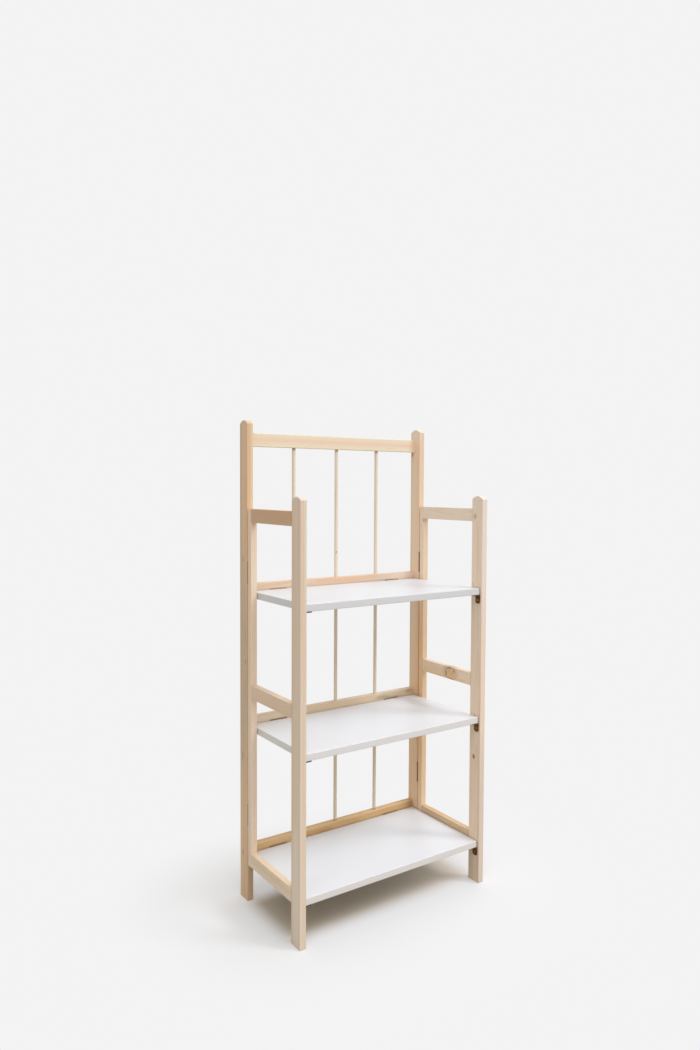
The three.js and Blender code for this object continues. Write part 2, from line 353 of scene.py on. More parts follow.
# %% The pine finish
ring_width = 2.7 * mm
heart_wander = 14 * mm
trunk_taper = 0.006
heartwood_starts, heartwood_full = 42 * mm, 22 * mm
grain_depth = 0.06 * mm


def pine(name, middle, along, seed, colour, heart, knots=(), stains_and_painted_light=()):
    """The finish of one length of timber.

    The middle is a point on its axis and along is the way that its grain runs. The heart is how far the middle of the
    tree lies from that axis. A knot is (its middle, the axis that it runs along, its radius, its wood). A stain is
    (its middle, its radius, how far it reaches along the grain, its shade, its strength)."""
    finish = Finish(name)
    tint = shades(*colour)
    place = dict(zip("xyz", finish.split(finish.place())))
    across, upright = [key for key in "xyz" if key != along]
    u, v, w = (place[key] - middle["xyz".index(key)] for key in (across, upright, along))
    # Each noise is long along the grain: u and v have more bumps to a metre than w.
    rough = finish.noise(finish.join(u * 170, v * 170, w * 60 + seed), 1.0, 1.0)

    # The heart wanders along the length and the trunk tapers, which draws the long arches on a face.
    wander = heart_wander * (finish.noise(finish.join(w * 1.7, seed, 0.3)) - 0.5)
    sway = heart_wander * (finish.noise(finish.join(w * 1.3, seed, 7.3)) - 0.5)
    du = u - heart[0] + wander
    dv = v - heart[1] + sway
    radius = (du * du + dv * dv) ** 0.5 + w * trunk_taper

    # The rings bend round each knot.
    distances = []
    for centre, through, size, wood in knots:
        distance = knot_distance(finish, place, along, rough, centre, through, size)
        distances.append((distance, wood))
        radius = radius + size * 0.55 * finish.fade(distance, 3.2, 0.9)

    # The years
    unevenness = finish.noise(finish.join(radius * 90, w * 0.7, seed))
    years = radius / ring_width + 1.6 * unevenness
    hard = finish.ramp(years.fraction(), (0.0, 0.0), (0.5, 0.12), (0.86, 1.0), (0.93, 0.85), (1.0, 0.0))
    strength = 0.3 + 0.7 * finish.noise(finish.join(u * 9, v * 9 + seed, w * 2.2))
    core = finish.fade(radius, heartwood_starts, heartwood_full)
    colour = finish.mix(core, tint["soft"], tint["heart"])

    # Broad bands along the grain, where the tree grew faster or held more resin
    bands = finish.noise(finish.join(u * 75, v * 75 + seed, w * 1.2), 1.0, 1.0)
    colour = finish.mix(0.7 * finish.fade(bands, 0.48, 0.32), colour, tint["straw"])
    colour = finish.mix(0.7 * finish.fade(bands, 0.52, 0.68), colour, tint["rosy"])
    colour = finish.mix(hard * strength, colour, tint["hard"])

    # Fibres, and the short dark dashes of the resin canals
    fibres = finish.noise(finish.join(u * 900, v * 900, w * 14 + seed), 1.0, 3.0)
    dashes = finish.fade(finish.noise(finish.join(u * 620, v * 620, w * 32 - seed), 1.0, 1.0), 0.7, 0.8)
    colour = finish.mix(0.26 * finish.fade(fibres, 0.35, 0.75), colour, tint["hard"])
    colour = finish.mix(0.35 * dashes, colour, fibre_shade)
    clouds = finish.noise(finish.join(u * 12, v * 12 + seed, w * 3.1), 1.0, 2.0)
    colour = finish.mix(0.5 * finish.fade(clouds, 0.4, 0.75), colour, tint["heart"])

    for distance, wood in distances:
        colour = with_knot(finish, colour, distance, rough, wood)
    # Some stains are painted light and shade: a paler face where more light falls, and darker wood where a rail shades
    # it.
    for centre, thickness, reach, shade, depth in stains_and_painted_light:
        share = depth * stain_and_painted_light_share(finish, place, along, rough, centre, thickness, reach)
        colour = finish.mix(share, colour, tint[shade])

    height = 0.5 * hard + 0.5 * fibres
    return finish.surface(
        Base_Color=colour,
        Roughness=0.6 - 0.1 * hard,
        Specular_IOR_Level=0.35,
        Normal=finish.relief(height, grain_depth),
    )


# %% [markdown]
# ## From a bmesh to a piece
#
# Every piece ends the same way. Its faces are smooth over the easings and crisp at the corners. Its object stays at the
# origin, with the place in the mesh, as the CAD solids have it. It stands for its solid and rides on the same body, so
# that it moves with the hinge.

# %% Finishing a piece
crisp = math.radians(38)


def mesh_of(bm, name):
    """The finished mesh of a bmesh, smooth where it bends gently."""
    bmesh.ops.recalc_face_normals(bm, faces=bm.faces)
    for face in bm.faces:
        face.smooth = True
    for edge in bm.edges:
        edge.smooth = edge.is_manifold and edge.calc_face_angle() < crisp
    mesh = bpy.data.meshes.new(name)
    bm.to_mesh(mesh)
    bm.free()
    return mesh


def put_in_scene(name, data):
    """A new object for a mesh, a lamp or a camera."""
    item = bpy.data.objects.new(name, data)
    bpy.context.scene.collection.objects.link(item)
    return item


def add_piece(name, mesh, material, body):
    """A piece of the bookcase that rides on one of its bodies."""
    piece = put_in_scene(name, mesh)
    mesh.materials.clear()
    mesh.materials.append(material)
    # Flat faces keep their own direction, and only the easings turn from one to the next.
    piece.modifiers.new("Even shading", "WEIGHTED_NORMAL").keep_sharp = True
    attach(piece, body)
    return piece


def body_of(node):
    return frame["nodes"][node]["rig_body"]


def stand_for(node, name, mesh, material):
    """A piece that is seen in the place of a solid."""
    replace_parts(add_piece(name, mesh, material, body_of(node)), node)


# %% [markdown]
# ## Timbers
#
# The machine that planes a rail also takes its sharp edges off, all along, and its sawn ends stay square. So a rail is
# a cube that is stretched to its size, and only its long edges are bevelled. A post starts as the outline of its side
# instead: one point is spun over the top to draw the arch, the outline is closed at the foot, and the face is pushed
# out to the post's thickness.

# %% A rail
timber_easing = 1.5 * mm


def stretched_cube(low, high):
    bm = bmesh.new()
    bmesh.ops.create_cube(bm, size=1)
    bmesh.ops.transform(bm, matrix=Matrix.LocRotScale((low + high) / 2, None, high - low), verts=bm.verts)
    return bm


def ease(bm, edges, radius, segments=3):
    """Rounds edges over."""
    bmesh.ops.bevel(
        bm,
        geom=edges,
        offset=radius,
        offset_type="OFFSET",
        segments=segments,
        profile=0.5,
        affect="EDGES",
        material=-1,
        clamp_overlap=True,
    )


def running(bm, along):
    """The edges that run along an axis."""
    return [e for e in bm.edges if (e.verts[1].co - e.verts[0].co).normalized().cross(axes[along]).length < 0.001]


def rail_shape(low, high, along):
    bm = stretched_cube(low, high)
    ease(bm, running(bm, along), timber_easing)
    return bm


# %% A post
crown_rise = 9.4 * mm
crown_steps = 18


def verts_of(made):
    """The vertices among what an operator made."""
    return [item for item in made["geom"] if isinstance(item, bmesh.types.BMVert)]


def post_shape(low, high):
    half = (high.y - low.y) / 2
    arch_radius = (half**2 + crown_rise**2) / (2 * crown_rise)
    arch_centre = Vector((low.x, low.y + half, high.z - arch_radius))
    bm = bmesh.new()
    front_foot = bm.verts.new(low)
    springing = bm.verts.new((low.x, low.y, high.z - crown_rise))
    bmesh.ops.spin(
        bm,
        geom=[springing],
        cent=arch_centre,
        axis=-axes["x"],
        angle=2 * math.asin(half / arch_radius),
        steps=crown_steps,
    )
    arch = [v for v in bm.verts if v is not front_foot]
    rear_foot = bm.verts.new((low.x, high.y, low.z))
    side = bm.faces.new([front_foot, *arch, rear_foot])
    pushed = bmesh.ops.extrude_face_region(bm, geom=[side])
    bmesh.ops.translate(bm, vec=axes["x"] * (high.x - low.x), verts=verts_of(pushed))
    outline = [e for e in bm.edges if abs(e.verts[0].co.x - e.verts[1].co.x) < mm]
    foot = [e for e in bm.edges if max(v.co.z for v in e.verts) < low.z + mm]
    ease(bm, list({*outline, *foot}), timber_easing)
    return bm


# %% [markdown]
# ## The boards' characters
# A stack of pine always has some pink boards, some yellow ones and a few with a knot. Each timber is given a tint and
# the place of its heart. A heart that lies straight behind a face draws arches on it, and one that lies to the side
# draws straight lines. The knots are where this bookcase has them. The stains make a length paler or rosier where it is
# so, and mark the resin. Some of them are painted light and shade: paler patches on the right-hand inner faces and a
# few other faces, a painted shadow under the back's top rail and at its right end, and a painted highlight along the
# top of the lowest back rail. The stains make a length paler or rosier
# where it is so, and put the dirt and the resin in the corners.

# %% Which board went where
# The middle of a knot or a stain is in metres, in the bookcase's own frame. Inner and outer are how far a side frame's
# two faces lie from the middle.
inner, outer = 282 * mm, 300 * mm
characters = {
    "back_post_left": {
        "colour": (223, 194, 162),
        "heart": (26 * mm, -14 * mm),
        "knots": [((-outer, 0.127, 0.647), "x", 4.5 * mm, "brown")],
        "stains_and_painted_light": [
            ((-0.297, 0.117, 1.15), 7 * mm, 0.55, "rosy", 0.9),
            ((-0.284, 0.117, 1.15), 6 * mm, 0.55, "straw", 0.9),
            ((-0.300, 0.157, 0.80), 9 * mm, 0.6, "grey", 0.8),
            ((-0.300, 0.156, 0.85), 13 * mm, 0.7, "dark", 0.13),
            ((-0.291, 0.138, 1.290), 30 * mm, 0.011, "sawn", 0.7),
            ((-0.291, 0.138, 1.290), 30 * mm, 0.010, "grey", 0.5),
            ((-0.300, 0.135, 0.62), 24 * mm, 0.34, "grey", 0.75),
            ((-0.300, 0.129, 0.715), 1.6 * mm, 0.055, "dark", 0.4),
            ((-0.300, 0.128, 0.58), 1.6 * mm, 0.045, "dark", 0.4),
            ((-0.300, 0.141, 0.918), 2.4 * mm, 0.010, "dark", 0.8),
            ((-0.300, 0.143, 0.391), 2.6 * mm, 0.013, "dark", 0.75),
            ((-0.300, 0.143, 0.125), 2.6 * mm, 0.010, "dark", 0.75),
        ],
    },
    "back_post_right": {
        "colour": (245, 216, 185),
        "heart": (-31 * mm, 9 * mm),
        "knots": [((outer, 0.146, 0.42), "x", 5 * mm, "brown")],
        "stains_and_painted_light": [
            # Painted light: the inner face is paler where more light falls on it.
            ((inner, 0.138, 0.98), 17 * mm, 0.42, "pale", 0.6),
            ((inner, 0.138, 1.280), 26 * mm, 0.060, "sawn", 0.7),
            ((inner, 0.158, 0.90), 5 * mm, 0.60, "grey", 0.7),
            ((inner, 0.119, 0.50), 6 * mm, 0.36, "rusty", 0.7),
            ((0.292, 0.117, 1.16), 9 * mm, 0.16, "grey", 0.3),
            # Painted shade: a dark spot right under the top rail.
            ((inner, 0.152, 1.213), 5 * mm, 0.008, "dark", 0.7),
        ],
    },
    "front_post_left": {
        "colour": (225, 207, 187),
        "heart": (-36 * mm, 24 * mm),
        "stains_and_painted_light": [
            ((-inner, -0.159, 0.95), 5 * mm, 0.20, "straw", 0.9),
            ((-0.291, -0.138, 1.092), 30 * mm, 0.011, "sawn", 0.8),
            # Painted light: the outer face is paler near the foot.
            ((-outer, -0.138, 0.12), 20 * mm, 0.20, "pale", 0.5),
        ],
    },
    "front_post_right": {
        "colour": (240, 218, 196),
        "heart": (34 * mm, -8 * mm),
        "knots": [
            ((inner, -0.1288, 1.033), "x", 4.6 * mm, "brown"),
            ((inner, -0.1346, 0.355), "x", 4 * mm, "brown"),
        ],
        "stains_and_painted_light": [
            # Painted light: the inner face is paler where more light falls on it.
            ((inner, -0.138, 1.02), 24 * mm, 0.24, "pale", 0.5),
            ((0.291, -0.138, 1.092), 30 * mm, 0.010, "sawn", 0.6),
            # Painted light and shade: the front face is paler near the top and greyer near the foot.
            ((0.291, -0.159, 1.00), 12 * mm, 0.28, "pale", 0.7),
            ((0.291, -0.159, 0.16), 12 * mm, 0.30, "grey", 0.7),
            ((inner, -0.141, 0.93), 6 * mm, 0.10, "rosy", 0.8),
        ],
    },
    "rear_stile_left": {
        "colour": (237, 214, 190),
        "heart": (-22 * mm, 31 * mm),
        "stains_and_painted_light": [((-0.300, 0.104, 0.33), 16 * mm, 0.28, "pale", 0.5)],
    },
    "rear_stile_right": {
        "colour": (248, 223, 193),
        "heart": (29 * mm, 22 * mm),
        "stains_and_painted_light": [
            ((0.291, 0.104, 0.50), 34 * mm, 0.36, "rusty", 0.7),
            # Painted light: the inner face is paler where more light falls on it.
            ((inner, 0.106, 0.92), 11 * mm, 0.20, "pale", 0.8),
            ((0.292, 0.0952, 0.62), 9 * mm, 0.50, "grey", 0.35),
            ((0.292, 0.0952, 0.86), 9 * mm, 0.26, "rusty", 0.2),
            ((inner, 0.0955, 1.014), 4 * mm, 0.006, "dark", 0.6),
        ],
    },
    "back_rail_top": {
        "colour": (247, 227, 204),
        "heart": (24 * mm, -26 * mm),
        "stains_and_painted_light": [
            ((0, 0.139, 1.2385), 5.5 * mm, 0.50, "rosy", 0.8),
            ((0, 0.139, 1.2240), 4.5 * mm, 0.60, "straw", 0.8),
            ((0, 0.139, 1.2530), 4.5 * mm, 0.60, "straw", 0.5),
            # Painted shadow of the right post on the rail's end, tinted orange by the light off the post.
            ((0.278, 0.139, 1.2380), 30 * mm, 0.012, "rusty", 0.45),
        ],
    },
    "back_rail_upper": {
        "colour": (220, 195, 172),
        "heart": (31 * mm, 16 * mm),
        "stains_and_painted_light": [
            ((0.01, 0.139, 0.848), 11 * mm, 0.13, "rosy", 0.9),
            ((0.21, 0.139, 0.846), 14 * mm, 0.09, "pale", 0.6),
        ],
    },
    "back_rail_middle": {
        "colour": (226, 207, 181),
        "heart": (-27 * mm, -21 * mm),
        "stains_and_painted_light": [
            ((-0.230, 0.139, 0.480), 12 * mm, 0.060, "pale", 0.45),
            ((0.180, 0.139, 0.482), 15 * mm, 0.045, "grey", 0.45),
            ((0.165, 0.139, 0.481), 5 * mm, 0.030, "dark", 0.35),
            ((0.205, 0.139, 0.477), 3 * mm, 0.040, "dark", 0.3),
            ((0.264, 0.139, 0.486), 7 * mm, 0.016, "dark", 0.35),
        ],
    },
    "back_rail_lower": {
        "colour": (215, 179, 131),
        "heart": (38 * mm, 4 * mm),
        "stains_and_painted_light": [
            ((-0.23, 0.139, 0.136), 9 * mm, 0.10, "soft", 0.8),
            # A painted highlight: a pale line along the top edge.
            ((0, 0.139, 0.1395), 4 * mm, 0.70, "pale", 0.8),
            ((-0.036, 0.139, 0.120), 12 * mm, 0.030, "rusty", 0.5),
            ((0.235, 0.139, 0.118), 11 * mm, 0.034, "grey", 0.4),
            ((0.272, 0.139, 0.130), 12 * mm, 0.014, "dark", 0.4),
        ],
    },
    "side_rail_left_top": {"colour": (207, 176, 145), "heart": (-33 * mm, 12 * mm)},
    "side_rail_left_mid": {"colour": (226, 201, 177), "heart": (28 * mm, -24 * mm)},
    "side_rail_left_low": {"colour": (233, 216, 194), "heart": (-25 * mm, 27 * mm)},
    "side_rail_right_top": {"colour": (250, 231, 212), "heart": (35 * mm, 10 * mm)},
    "side_rail_right_mid": {
        "colour": (250, 226, 198),
        "heart": (-34 * mm, -17 * mm),
        "knots": [((inner, -0.031, 0.574), "x", 15 * mm, "pale")],
        "stains_and_painted_light": [
            # Painted light: the inner face is paler beside the knot, where more light falls on it.
            ((inner, -0.095, 0.574), 15 * mm, 0.040, "pale", 0.5),
            ((inner, -0.040, 0.575), 16 * mm, 0.011, "rusty", 0.55),
            ((inner, -0.047, 0.568), 12 * mm, 0.009, "rusty", 0.8),
            ((inner, -0.030, 0.586), 4.0 * mm, 0.006, "dark", 0.6),
            ((inner, -0.026, 0.577), 2.5 * mm, 0.003, "dark", 0.5),
            ((inner, -0.047, 0.580), 6.0 * mm, 0.004, "dark", 0.55),
            ((inner, -0.039, 0.571), 6.0 * mm, 0.003, "dark", 0.5),
            ((inner, -0.037, 0.561), 5.0 * mm, 0.011, "rusty", 0.9),
            ((inner, -0.036, 0.556), 3.0 * mm, 0.011, "dark", 0.6),
            ((inner, -0.010, 0.562), 5.0 * mm, 0.003, "dark", 0.5),
            ((inner, 0.030, 0.557), 3.5 * mm, 0.050, "rusty", 0.6),
            ((inner, -0.075, 0.562), 3.0 * mm, 0.030, "rusty", 0.5),
        ],
    },
    "side_rail_right_low": {
        "colour": (214, 186, 152),
        "heart": (27 * mm, 19 * mm),
        "stains_and_painted_light": [((0.291, 0.040, 0.137), 16 * mm, 0.050, "rusty", 0.3)],
    },
}

# %% Cut the timbers
peg_reach = 11 * mm
# Every timber's pattern starts this much further on than the last one's.
next_seed = 3.7

seed = 0
for node in characters:
    seed += next_seed
    low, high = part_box(node)
    if "post" in node:
        along = "z"
        bm = post_shape(low, high)
    elif "stile" in node:
        along = "z"
        bm = rail_shape(low, high, along)
    else:
        # A rail's solid also holds its glued pegs, which stay hidden in the posts.
        along = "x" if node.startswith("back") else "y"
        shoulder = axes[along] * peg_reach
        bm = rail_shape(low + shoulder, high - shoulder, along)
    material = pine("pine_" + node, (low + high) / 2, along, seed, **characters[node])
    stand_for(node, node + "_timber", mesh_of(bm, node + "_timber"), material)
print("timbers:", len(characters))

# %% [markdown]
# ## Dowels
#
# The three rods in the back are turned from a paler, plainer wood. Their solids have flat sides, so each is turned
# again as a finer cone that doesn't narrow. Just under the top rail each rod is painted darker, a painted shadow of the
# rail, and it is darker too where it enters the lowest rail. The middle rod has one small mark.

# %% Turn the dowels
rod_front = 143 * mm
top_socket, low_socket, rod_mark = 1221 * mm, 140 * mm, 926 * mm

for node in ("dowel_1", "dowel_2", "dowel_3"):
    seed += next_seed
    low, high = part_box(node)
    bm = bmesh.new()
    bmesh.ops.create_cone(
        bm,
        cap_ends=True,
        segments=40,
        radius1=(high.x - low.x) / 2,
        radius2=(high.x - low.x) / 2,
        depth=high.z - low.z,
        matrix=Matrix.Translation((low + high) / 2),
    )
    # A painted shadow just under the top rail, a darker band where the rod enters the lowest rail, and one real mark on
    # the middle rod.
    stains_and_painted_light = [
        ((low.x + 5 * mm, rod_front, top_socket), 8 * mm, 9 * mm, "dark", 0.8),
        ((low.x + 5 * mm, rod_front, low_socket), 8 * mm, 5 * mm, "dark", 0.6),
    ]
    if node == "dowel_2":
        stains_and_painted_light.append(((low.x + 3 * mm, rod_front, rod_mark), 2.5 * mm, 3.5 * mm, "dark", 0.8))
    middle = (low + high) / 2
    material = pine("pine_" + node, middle, "z", seed, (231, 220, 203), (19 * mm, 12 * mm), stains_and_painted_light=stains_and_painted_light)
    stand_for(node, node + "_rod", mesh_of(bm, node + "_rod"), material)
    print(node, "height in mm:", round((high.z - low.z) / mm))

# %% [markdown]
# ## White boards
#
# A shelf is particle board in a white skin with a soft sheen. The skin isn't quite even: it takes a faint ripple from
# the board below, which only shows where light slides along it. The colour therefore stays nearly plain, and the
# roughness and a very shallow relief do the work. A separate band is glued round the edge. It never matches the skin
# quite, and a hair of glue shows between the two. The shelves differ in brightness as painted light and shade: the
# upper one is a darker white and the middle one a lighter white, to make up for the light that the upper shelf takes
# from the middle one.

# %% The white finish
board_easing = 1.5 * mm
board_end_easing = 0.6 * mm
glue = linear(176, 172, 166)
# The upper shelf's white is darker and the middle one's lighter: painted shade and painted light for how much light
# each shelf gets.
shelf_whites_with_painted_light = {
    # how bright the skin is, from 0 to 255, and the colour of the band
    "lower": (230, (230, 225, 220)),
    "middle": (233, (230, 228, 225)),
    "upper": (226, (223, 223, 222)),
}


def white_board(name, low, high, bright, band):
    """White skin above and below, and a glued band round the edge that is a little greyer."""
    finish = Finish(name)
    place = finish.place()
    clouds = finish.noise(place, 6.0, 2.0)
    ripple = finish.noise(place, 260.0, 2.0)
    skin = finish.mix(clouds, linear(bright - 2, bright - 1, bright + 1), linear(bright + 2, bright + 3, bright + 5))
    depth = abs(finish.split(place)[2] - (low.z + high.z) / 2)
    edge = (high.z - low.z) / 2 - board_easing
    seam = finish.fade(abs(depth - edge), 0.25 * mm, 0.1 * mm)
    colour = finish.mix(finish.fade(depth, edge, edge - 0.2 * mm), skin, linear(*band))
    return finish.surface(
        Base_Color=finish.mix(0.35 * seam, colour, glue),
        Roughness=0.34 + 0.12 * clouds,
        Specular_IOR_Level=0.45,
        Normal=finish.relief(ripple, 0.012 * mm),
    )


# %% Cut the shelves
for level in shelf_whites_with_painted_light:
    node = "shelf_" + level
    low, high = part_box(node)
    bm = stretched_cube(low, high)
    ease(bm, running(bm, "x"), board_easing, 4)
    ends = [e for e in bm.edges if e.calc_face_angle() > crisp]
    ease(bm, ends, board_end_easing, 2)
    white = white_board("white_board_" + level, low, high, *shelf_whites_with_painted_light[level])
    stand_for(node, node + "_board", mesh_of(bm, node + "_board"), white)
    print(node, "top at", round(high.z / mm), "mm")

# %% [markdown]
# ## Metal
#
# Hinges, brackets and screws have a brown bronzed finish. On the hinges it is thin, and the steel shows through where
# the leaves rub. On the brackets it is a dark, slightly pebbled coat, and their screws are as bright as the hinges.

# %% The metal finishes
def bronzed_steel():
    finish = Finish("bronzed_steel")
    place = finish.place()
    brushing = finish.noise(place, 900.0, 2.0)
    wear = finish.fade(finish.noise(place, 140.0, 3.0), 0.55, 0.75)
    return finish.surface(
        Base_Color=finish.mix(0.5 * wear, linear(156, 120, 80), linear(190, 160, 118)),
        Metallic=0.75,
        Roughness=0.4 + 0.16 * brushing,
        Normal=finish.relief(brushing, 0.01 * mm),
    )


def brown_coat():
    finish = Finish("brown_coat")
    place = finish.place()
    pebbles = finish.noise(place, 1400.0, 2.0)
    clouds = finish.noise(place, 90.0, 2.0)
    return finish.surface(
        Base_Color=finish.mix(finish.fade(clouds, 0.35, 0.65), linear(78, 50, 20), linear(118, 84, 46)),
        Metallic=0.2,
        Specular_IOR_Level=0.25,
        Roughness=0.44 + 0.14 * pebbles,
        Normal=finish.relief(pebbles, 0.02 * mm),
    )


bronze = bronzed_steel()
coat = brown_coat()
print("nodes in the metals:", len(bronze.node_tree.nodes), len(coat.node_tree.nodes))

# %% [markdown]
# ## Cutting with a shape
#
# A countersunk hole and the cross in a screw's head are cut, as in the workshop. A bmesh has no such cut, so the
# Boolean modifier makes it once on a pattern, and the copies share the result.

# %% Cut a shape out, and copy the result
# Points that lie closer together than this are one point.
hair = 0.001 * mm


def cut(mesh, cutter):
    """A mesh with another mesh's shape taken out of it."""
    pair = [put_in_scene("cut", shape) for shape in (mesh, cutter)]
    boolean = pair[0].modifiers.new("Cut", "BOOLEAN")
    boolean.operation = "DIFFERENCE"
    boolean.solver = "EXACT"
    boolean.object = pair[1]
    bpy.context.view_layer.update()
    depsgraph = bpy.context.evaluated_depsgraph_get()
    result = bpy.data.meshes.new_from_object(pair[0].evaluated_get(depsgraph))
    for item in pair:
        bpy.data.objects.remove(item)
    return result


def reshaped(mesh, name):
    """A cut mesh, with its edges made crisp or smooth again."""
    bm = bmesh.new()
    bm.from_mesh(mesh)
    bmesh.ops.remove_doubles(bm, verts=bm.verts, dist=hair)
    return mesh_of(bm, name)


def copies(mesh, name, places):
    """One mesh that holds a copy of another at each place."""
    bm = bmesh.new()
    for matrix in places:
        before = len(bm.verts)
        bm.from_mesh(mesh)
        bm.verts.ensure_lookup_table()
        bmesh.ops.transform(bm, matrix=matrix, verts=bm.verts[before:])
    return mesh_of(bm, name)


# %% The cutter of a countersunk hole
def add_countersink(bm, radii, thickness, segments, place):
    """A cone through a sheet and a little beyond either face. It widens along the Z of its place."""
    narrow, wide = radii
    bmesh.ops.create_cone(
        bm, cap_ends=True, segments=segments, radius1=narrow, radius2=wide, depth=2 * thickness, matrix=place
    )


# %% [markdown]
# ## Screws
#
# A wood screw with a flat head is a profile spun round its axis. Its cross starts as a square whose four sides are
# pulled out to arms, is pushed down into the head, and narrows on the way.

# %% A turned shape
def turned(name, profile, steps):
    """The mesh of a profile, given as (radius, height) points, that is spun once round Z."""
    bm = bmesh.new()
    points = [bm.verts.new((radius, 0, height)) for radius, height in profile]
    edges = [bm.edges.new(pair) for pair in zip(points, points[1:])]
    bmesh.ops.spin(
        bm, geom=points + edges, cent=(0, 0, 0), axis=axes["z"], angle=full_turn, steps=steps, use_merge=True
    )
    bmesh.ops.remove_doubles(bm, verts=bm.verts, dist=hair)
    return mesh_of(bm, name)


# %% The cross in a screw's head
cross_start = 0.2 * mm
# The cross in shares of the head's radius and depth, and how much its floor narrows
cross_half_width, cross_arm, cross_depth, cross_narrowing = 0.13, 0.5, 0.9, 0.6


def cross_cutter(name, head_radius, head_depth):
    """It starts a little above the head, so that the cut opens cleanly."""
    bm = bmesh.new()
    bmesh.ops.create_grid(bm, x_segments=1, y_segments=1, size=head_radius * cross_half_width)
    for side in list(bm.edges):
        outward = (side.verts[0].co + side.verts[1].co).normalized()
        arm = bmesh.ops.extrude_edge_only(bm, edges=[side])
        bmesh.ops.translate(bm, vec=outward * head_radius * cross_arm, verts=verts_of(arm))
    bmesh.ops.translate(bm, vec=axes["z"] * cross_start, verts=bm.verts)
    bottom = verts_of(bmesh.ops.extrude_face_region(bm, geom=list(bm.faces)))
    bmesh.ops.translate(bm, vec=axes["z"] * -(cross_start + head_depth * cross_depth), verts=bottom)
    bmesh.ops.scale(bm, vec=(cross_narrowing, cross_narrowing, 1), verts=bottom)
    return mesh_of(bm, name)


# %% A screw
def screw_pattern(name, head_radius, head_depth, shank_radius, length):
    profile = [
        (0, 0),
        (head_radius * 0.96, 0),
        (head_radius, -0.12 * mm),
        (shank_radius, -head_depth),
        (shank_radius, -length * 0.8),
        (0, -length),
    ]
    cutter = cross_cutter(name + "_cross", head_radius, head_depth)
    return reshaped(cut(turned(name, profile, 24), cutter), name)


hinge_screw = screw_pattern(
    "hinge_screw", head_radius=2.75 * mm, head_depth=0.8 * mm, shank_radius=1.5 * mm, length=13 * mm
)
bracket_screw = screw_pattern(
    "bracket_screw", head_radius=3.4 * mm, head_depth=2 * mm, shank_radius=1.9 * mm, length=14 * mm
)
print("screw faces:", len(hinge_screw.polygons), len(bracket_screw.polygons))

# %% [markdown]
# ## Butt hinges
#
# A leaf is a strip of steel whose edge is rolled round the pin. So the strip is parted where the knuckles begin and
# end, every second part is drawn out to the pin, and its end face is spun nearly all the way round. The other leaf
# takes the parts between. The pattern is drawn shut, with its pin up Z and its leaves reaching out along X.
#
# Two helpers push a face out of a closed shape. A bmesh keeps the face that it starts from, which would be left inside
# as a wall, so they take it away.

# %% Push a face out, straight or round a bend
def draw_out(bm, face, reach):
    drawn = bmesh.ops.extrude_face_region(bm, geom=[face])["geom"]
    bmesh.ops.delete(bm, geom=[face], context="FACES_ONLY")
    end = next(item for item in drawn if isinstance(item, bmesh.types.BMFace))
    bmesh.ops.translate(bm, vec=reach, verts=end.verts)
    return end


def curl(bm, face, centre, axis, angle, steps):
    spun = bmesh.ops.spin(bm, geom=[face], cent=centre, axis=axis, angle=angle, steps=steps)
    bmesh.ops.delete(bm, geom=[face], context="FACES_ONLY")
    return next(item for item in spun["geom_last"] if isinstance(item, bmesh.types.BMFace))


# %% The sizes of the hinges
leaf_thickness = 0.8 * mm
leaf_corner = 1.6 * mm
leaf_hole_radii = (1 * mm, 3.4 * mm)
leaf_screw_inset = 8 * mm
barrel_radius = 1.6 * mm
knuckle_play = 0.3 * mm
plate_start = barrel_radius + knuckle_play
# How far the steel is rolled round the pin
roll, roll_steps = math.radians(292), 22
kinds = {
    "side": {"length": 60 * mm, "leaf_width": 18 * mm, "knuckles": 5, "screws": 3},
    "shelf": {"length": 50 * mm, "leaf_width": 15 * mm, "knuckles": 3, "screws": 2},
}


def screw_spots(length, leaf_width, screws, **rest):
    """Where a leaf's screws sit: how far out from the pin, and how high."""
    span = length - 2 * leaf_screw_inset
    reach = (leaf_width + plate_start) / 2
    return [(reach, -span / 2 + span * i / (screws - 1)) for i in range(screws)]


# %% A leaf
def leaf_pattern(name, side, sizes):
    """The fixed leaf lies on the +Y side of the pin, and the moving one has a side of -1."""
    length, leaf_width, knuckles = (sizes[key] for key in ("length", "leaf_width", "knuckles"))
    inside, outside = side * (barrel_radius - leaf_thickness), side * barrel_radius
    low = Vector((plate_start, min(inside, outside), -length / 2))
    high = Vector((leaf_width, max(inside, outside), length / 2))
    bm = stretched_cube(low, high)
    corners = [e for e in running(bm, "y") if e.verts[0].co.x > leaf_width - mm]
    ease(bm, corners, leaf_corner, 5)
    pitch = length / knuckles
    for i in range(1, knuckles):
        for z in (i * pitch - knuckle_play / 2, i * pitch + knuckle_play / 2):
            everything = bm.verts[:] + bm.edges[:] + bm.faces[:]
            bmesh.ops.bisect_plane(
                bm, geom=everything, plane_co=(0, 0, z - length / 2), plane_no=axes["z"], dist=hair
            )
    for i in range(0 if side == 1 else 1, knuckles, 2):
        middle = (i + 0.5) * pitch - length / 2
        root = next(
            face
            for face in bm.faces
            if abs(face.calc_center_median().x - plate_start) < 0.01 * mm
            and abs(face.calc_center_median().z - middle) < mm
        )
        tip = draw_out(bm, root, axes["x"] * -plate_start)
        curl(bm, tip, (0, 0, 0), axes["z"] * side, roll, roll_steps)
    leaf = mesh_of(bm, name)

    holes = bmesh.new()
    for reach, z in screw_spots(**sizes):
        place = Matrix.Translation((reach, (inside + outside) / 2, z)) @ Matrix.Rotation(side * quarter_turn, 4, "X")
        add_countersink(holes, leaf_hole_radii, leaf_thickness, 24, place)
    return reshaped(cut(leaf, mesh_of(holes, name + "_holes")), name)


# %% A pin, and the patterns of both kinds of hinge
pin_radius = 0.75 * mm
pin_head_radius = 1.35 * mm
pin_head_thickness = 0.9 * mm


